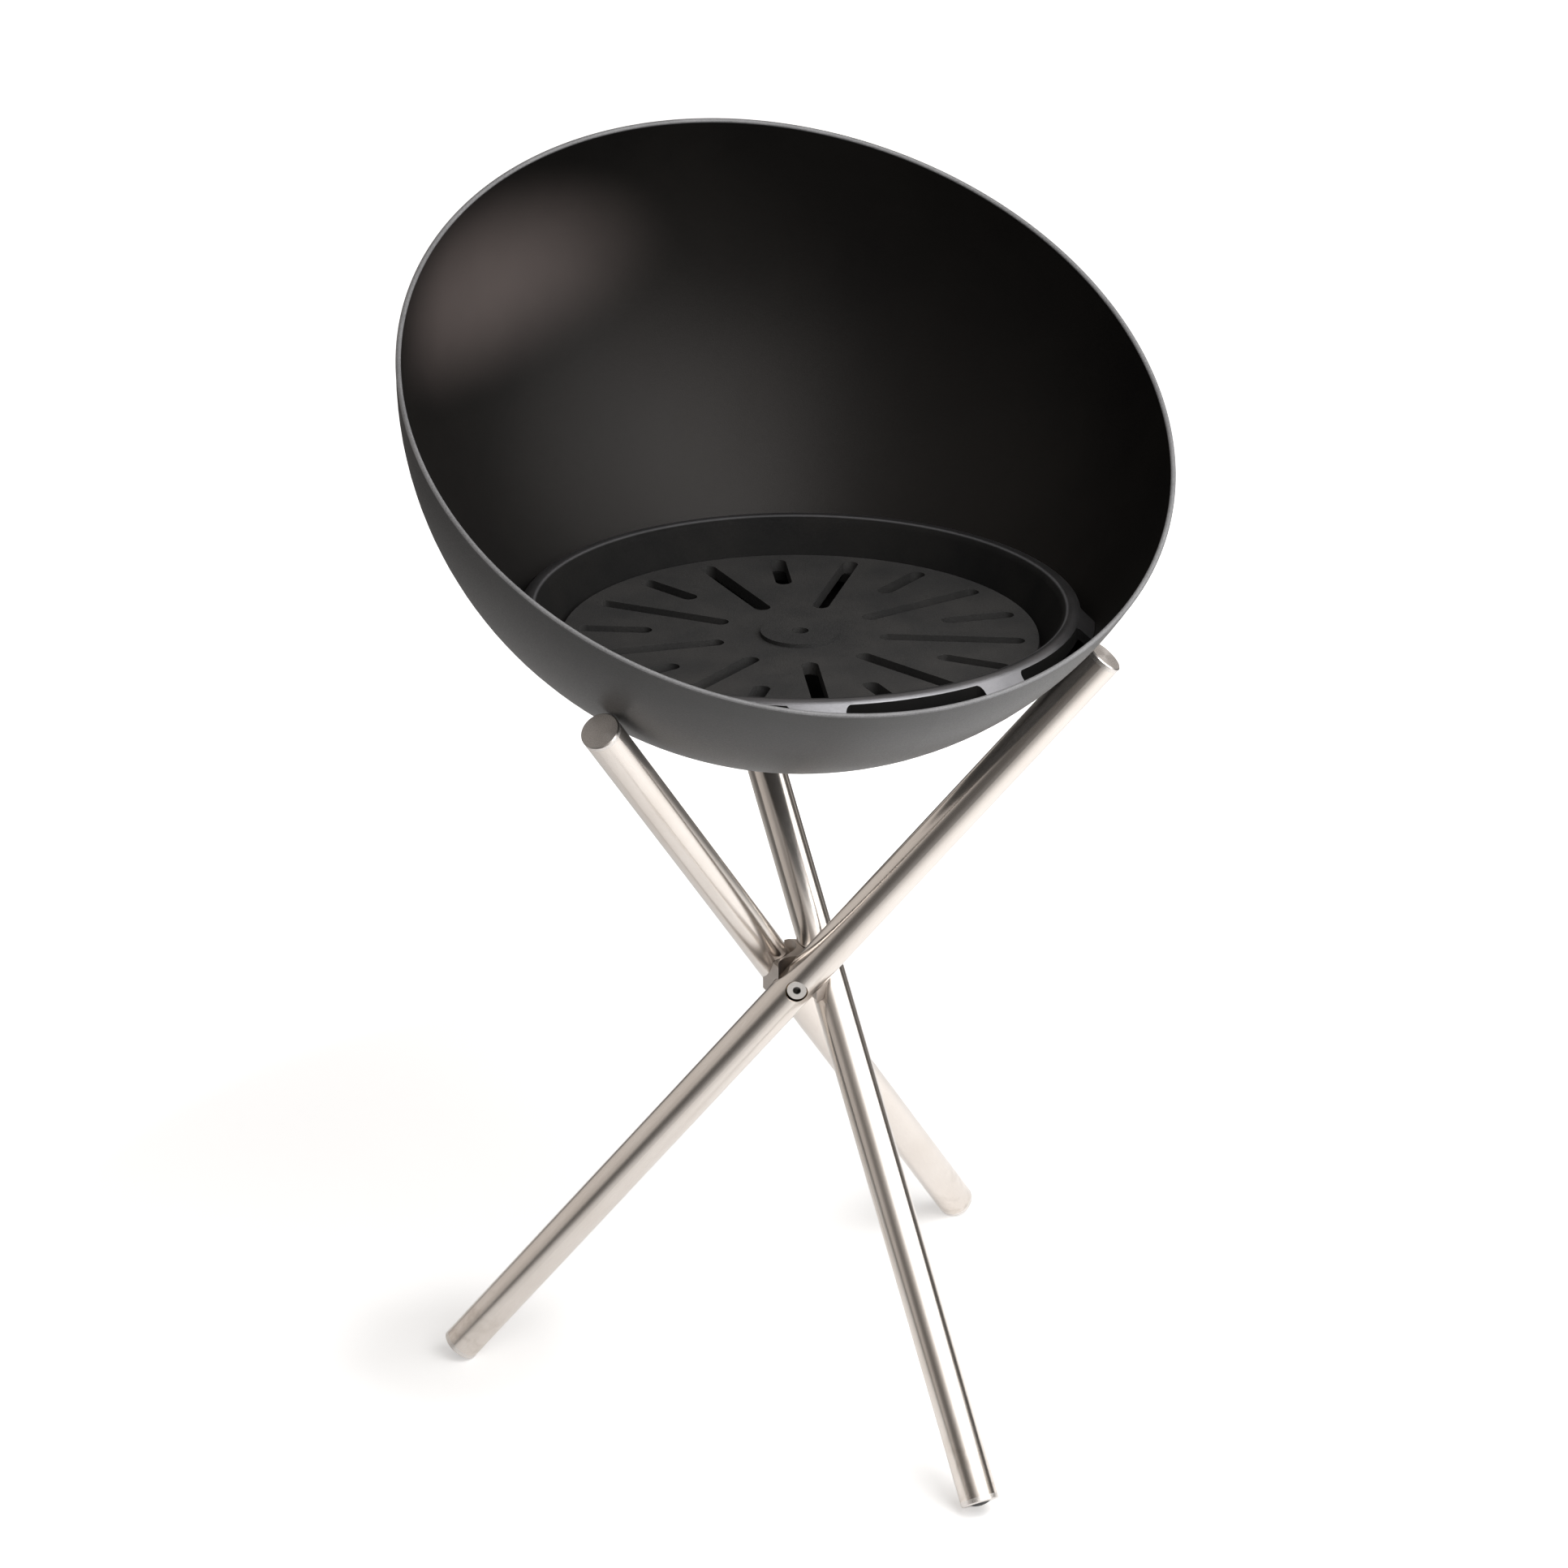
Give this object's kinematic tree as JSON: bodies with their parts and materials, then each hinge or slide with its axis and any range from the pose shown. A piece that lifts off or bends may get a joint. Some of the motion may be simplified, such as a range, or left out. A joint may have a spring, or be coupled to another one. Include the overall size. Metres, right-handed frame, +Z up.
{
  "type": "tilting fire bowl",
  "caption": "Matte black spherical fire bowl lying tilted in a folding tripod of crossed brushed steel rods, with a loose cast-iron fire ring and grate inside.",
  "frame": {"origin": "on the floor, under the point where the three rods cross", "axes": "+Z up along the tripod's axis; leg 1's pivot screw faces -Y"},
  "size_m": [0.541, 0.5148, 0.8939],
  "materials": {
    "cast_hub": "bead-blasted investment casting, matte",
    "pivot_steel": "turned and lightly polished",
    "brushed_tube": "brushed round the tube",
    "turned_end": "face turned with fine rings",
    "glide_plastic": "matte black",
    "bush_brass": "turned",
    "cast_iron_grate": "rough casting, burnt black",
    "cast_iron_ring": "fine casting with a matte black finish",
    "bowl_coating": "fine-textured matte anthracite coating, darker and smoother inside"
  },
  "bodies": {
    "hub": {"hub": "cast_hub", "pivot_screw_1": "pivot_steel", "pivot_screw_2": "pivot_steel", "pivot_screw_3": "pivot_steel", "spring_washer_1": "pivot_steel", "spring_washer_2": "pivot_steel", "spring_washer_3": "pivot_steel"},
    "leg_1": {"leg_tube_1": "brushed_tube", "top_cap_1": "turned_end", "foot_cap_1": "turned_end", "foot_glide_1": "glide_plastic", "pivot_bush_1": "bush_brass"},
    "leg_2": {"leg_tube_2": "brushed_tube", "top_cap_2": "turned_end", "foot_cap_2": "turned_end", "foot_glide_2": "glide_plastic", "pivot_bush_2": "bush_brass"},
    "leg_3": {"leg_tube_3": "brushed_tube", "top_cap_3": "turned_end", "foot_cap_3": "turned_end", "foot_glide_3": "glide_plastic", "pivot_bush_3": "bush_brass"},
    "grate": {"fire_grate": "cast_iron_grate"},
    "ring": {"fire_ring": "cast_iron_ring"},
    "bowl": {"bowl_shell": "bowl_coating"}
  },
  "joints": [
    {"name": "leg_1_fold", "type": "hinge", "parent": "hub", "child": "leg_1", "pos_m": [0, -0.02, 0.32305], "axis": [0, -1, 0], "range_deg": [0, 39]},
    {"name": "leg_2_fold", "type": "hinge", "parent": "hub", "child": "leg_2", "pos_m": [0.01732, 0.01, 0.32305], "axis": [0.866, 0.5, 0], "range_deg": [0, 39]},
    {"name": "leg_3_fold", "type": "hinge", "parent": "hub", "child": "leg_3", "pos_m": [-0.01732, 0.01, 0.32305], "axis": [-0.866, 0.5, 0], "range_deg": [0, 39]},
    {"name": "bowl_lift", "type": "slide", "parent": "hub", "child": "grate", "axis": [0, 0, 1], "range_m": [0, 0.36]},
    {"name": "bowl_turn", "type": "hinge", "parent": "grate", "child": "ring", "pos_m": [0, 0, 0.78843], "axis": [0, 0.0419, 0.9991], "continuous": true},
    {"name": "bowl_tilt", "type": "hinge", "parent": "ring", "child": "bowl", "pos_m": [0, 0, 0.78843], "axis": [0.8746, 0.4848, 0], "range_deg": [-29.5, 0.5]}
  ],
  "couplings": [
    {"joint": "leg_1_fold", "follows": "bowl_lift", "rad_per_m": 1.8907},
    {"joint": "leg_2_fold", "follows": "bowl_lift", "rad_per_m": 1.8907},
    {"joint": "leg_3_fold", "follows": "bowl_lift", "rad_per_m": 1.8907}
  ]
}
